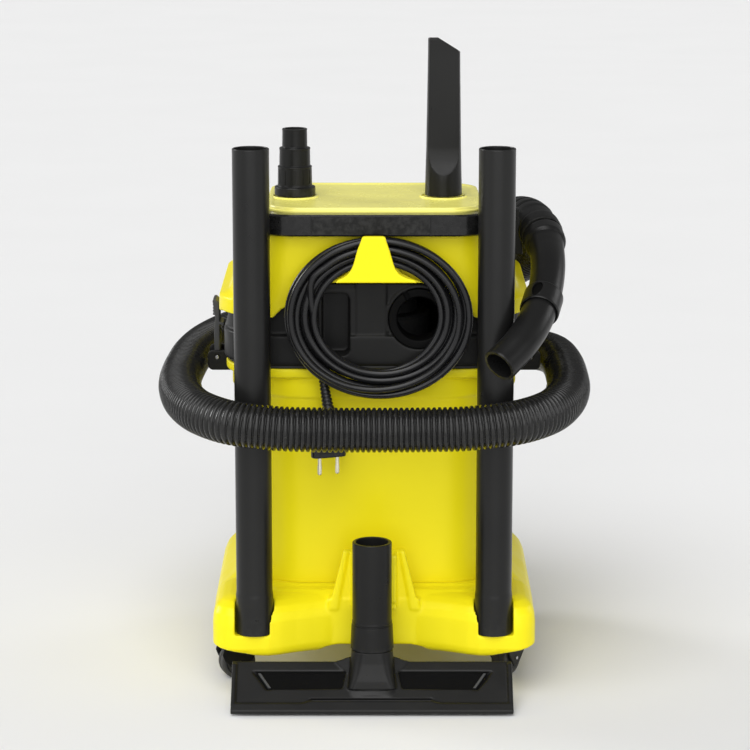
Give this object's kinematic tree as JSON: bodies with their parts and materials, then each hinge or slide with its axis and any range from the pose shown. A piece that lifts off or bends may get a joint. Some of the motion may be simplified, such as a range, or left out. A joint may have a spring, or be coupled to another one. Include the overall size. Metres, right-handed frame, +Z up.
{
  "type": "shop vacuum",
  "caption": "Wet and dry vacuum on casters with a lift-off motor head, latches, folding carry handle, wrapped hose and cord, and parked tubes and nozzles.",
  "frame": {"origin": "middle of the object's box without the hose and the mains cord, on the floor", "axes": "+Z up, -Y the back where the accessories are parked, +X to the right when looking at the back"},
  "size_m": [0.454, 0.4896, 0.6658],
  "materials": {
    "body_yellow": "satin moulded plastic, faint grain",
    "deck_yellow": "satin moulded plastic",
    "black_plastic": "fine-grained moulded plastic",
    "tool_black": "smooth extruded or moulded plastic",
    "dark_grey_plastic": "satin moulded plastic",
    "hose_plastic": "corrugated flexible plastic, soft sheen",
    "cord_black": "smooth soft sheath",
    "seal_rubber": "matt foam rubber",
    "wheel_plastic": "matt rolling tread",
    "steel": "bright drawn pin",
    "brass_pin": "nickelled contact pin",
    "filter_paper": "pleated filter paper"
  },
  "bodies": {
    "root": {"container": "body_yellow", "inlet_socket": "black_plastic", "base_chassis": "body_yellow", "container_seal": "seal_rubber", "latch_bracket_left": "black_plastic", "latch_bracket_right": "black_plastic", "latch_pin_left": "steel", "latch_pin_right": "steel", "hose_hook_left": "black_plastic", "hose_hook_right": "black_plastic", "hose_connector": "black_plastic", "suction_hose": "hose_plastic"},
    "head": {"head_housing": "black_plastic", "blower_port": "black_plastic", "head_cover": "body_yellow", "storage_deck": "deck_yellow", "cable_hook": "body_yellow", "cable_gland": "cord_black", "cord_coil": "cord_black", "cord_tail": "cord_black", "suction_hose_rise": "hose_plastic", "plug_body": "cord_black", "plug_pin_left": "brass_pin", "plug_pin_right": "brass_pin", "motor": "dark_grey_plastic", "fan_housing": "dark_grey_plastic", "filter_cage": "black_plastic", "cartridge_filter": "filter_paper", "handle_pin_left": "dark_grey_plastic", "handle_pin_right": "dark_grey_plastic", "hose_cuff": "black_plastic", "curved_handle": "tool_black", "handle_clip": "black_plastic"},
    "carry_handle": {"carry_handle": "black_plastic"},
    "power_knob": {"power_knob": "black_plastic"},
    "impeller": {"impeller": "steel"},
    "float": {"float_ball": "black_plastic"},
    "filter_lock": {"filter_lock": "black_plastic"},
    "latch_left": {"latch_left": "dark_grey_plastic"},
    "latch_right": {"latch_right": "dark_grey_plastic"},
    "tube_left": {"suction_tube_left": "tool_black"},
    "tube_right": {"suction_tube_right": "tool_black"},
    "floor_nozzle": {"nozzle_pipe": "tool_black", "nozzle_head": "tool_black", "nozzle_insert": "seal_rubber"},
    "crevice_nozzle": {"crevice_nozzle": "tool_black"},
    "tool_adapter": {"tool_adapter": "tool_black"},
    "air_ring": {"air_ring": "dark_grey_plastic"},
    "caster_rear_left": {"caster_housing_rear_left": "black_plastic"},
    "wheel_rear_left": {"caster_wheel_rear_left": "wheel_plastic", "caster_axle_rear_left": "steel"},
    "caster_rear_right": {"caster_housing_rear_right": "black_plastic"},
    "wheel_rear_right": {"caster_wheel_rear_right": "wheel_plastic", "caster_axle_rear_right": "steel"},
    "caster_front_left": {"caster_housing_front_left": "black_plastic"},
    "wheel_front_left": {"caster_wheel_front_left": "wheel_plastic", "caster_axle_front_left": "steel"},
    "caster_front_right": {"caster_housing_front_right": "black_plastic"},
    "wheel_front_right": {"caster_wheel_front_right": "wheel_plastic", "caster_axle_front_right": "steel"}
  },
  "joints": [
    {"name": "head_lift", "type": "slide", "parent": "root", "child": "head", "axis": [0, 0, 1], "range_m": [0, 0.12]},
    {"name": "carry_handle_swing", "type": "hinge", "parent": "head", "child": "carry_handle", "pos_m": [0, 0.00989, 0.487], "axis": [-1, 0, 0], "range_deg": [0, 45]},
    {"name": "power_knob_turn", "type": "hinge", "parent": "head", "child": "power_knob", "pos_m": [0, 0.12089, 0.4595], "axis": [0, 0.4147, 0.91], "range_deg": [0, 90]},
    {"name": "impeller_spin", "type": "hinge", "parent": "head", "child": "impeller", "pos_m": [0, 0.01489, 0.357], "axis": [0, 0, 1], "continuous": true},
    {"name": "float_rise", "type": "slide", "parent": "head", "child": "float", "axis": [0, 0, 1], "range_m": [0, 0.05]},
    {"name": "filter_lock_turn", "type": "hinge", "parent": "head", "child": "filter_lock", "pos_m": [0, 0.01489, 0.24], "axis": [0, 0, -1], "range_deg": [0, 90]},
    {"name": "latch_left_open", "type": "hinge", "parent": "root", "child": "latch_left", "pos_m": [-0.167, 0.01489, 0.323], "axis": [0, -1, 0], "range_deg": [0, 50]},
    {"name": "latch_right_open", "type": "hinge", "parent": "root", "child": "latch_right", "pos_m": [0.167, 0.01489, 0.323], "axis": [0, 1, 0], "range_deg": [0, 50]},
    {"name": "tube_left_lift", "type": "slide", "parent": "root", "child": "tube_left", "axis": [0, 0, 1], "range_m": [0, 0.12]},
    {"name": "tube_right_lift", "type": "slide", "parent": "root", "child": "tube_right", "axis": [0, 0, 1], "range_m": [0, 0.12]},
    {"name": "floor_nozzle_lift", "type": "slide", "parent": "root", "child": "floor_nozzle", "axis": [0, 0, 1], "range_m": [0, 0.07]},
    {"name": "crevice_nozzle_pull", "type": "slide", "parent": "head", "child": "crevice_nozzle", "axis": [0, 0, 1], "range_m": [0, 0.06]},
    {"name": "tool_adapter_pull", "type": "slide", "parent": "head", "child": "tool_adapter", "axis": [0, 0, 1], "range_m": [0, 0.04]},
    {"name": "air_ring_turn", "type": "hinge", "parent": "head", "child": "air_ring", "pos_m": [0.16914, -0.14524, 0.40725], "axis": [-0.2375, -0.8505, -0.4693], "range_deg": [0, 90]},
    {"name": "caster_rear_left_swivel", "type": "hinge", "parent": "root", "child": "caster_rear_left", "pos_m": [-0.134, -0.10111, 0.04], "axis": [0, 0, 1], "continuous": true},
    {"name": "wheel_rear_left_spin", "type": "hinge", "parent": "caster_rear_left", "child": "wheel_rear_left", "pos_m": [-0.14434, -0.10488, 0.0185], "axis": [0.342, -0.9397, 0], "continuous": true},
    {"name": "caster_rear_right_swivel", "type": "hinge", "parent": "root", "child": "caster_rear_right", "pos_m": [0.134, -0.10111, 0.04], "axis": [0, 0, 1], "continuous": true},
    {"name": "wheel_rear_right_spin", "type": "hinge", "parent": "caster_rear_right", "child": "wheel_rear_right", "pos_m": [0.1395, -0.09159, 0.0185], "axis": [-0.866, 0.5, 0], "continuous": true},
    {"name": "caster_front_left_swivel", "type": "hinge", "parent": "root", "child": "caster_front_left", "pos_m": [-0.134, 0.12289, 0.04], "axis": [0, 0, 1], "continuous": true},
    {"name": "wheel_front_left_spin", "type": "hinge", "parent": "caster_front_left", "child": "wheel_front_left", "pos_m": [-0.12366, 0.12665, 0.0185], "axis": [-0.342, 0.9397, 0], "continuous": true},
    {"name": "caster_front_right_swivel", "type": "hinge", "parent": "root", "child": "caster_front_right", "pos_m": [0.134, 0.12289, 0.04], "axis": [0, 0, 1], "continuous": true},
    {"name": "wheel_front_right_spin", "type": "hinge", "parent": "caster_front_right", "child": "wheel_front_right", "pos_m": [0.12366, 0.12665, 0.0185], "axis": [-0.342, -0.9397, 0], "continuous": true}
  ]
}
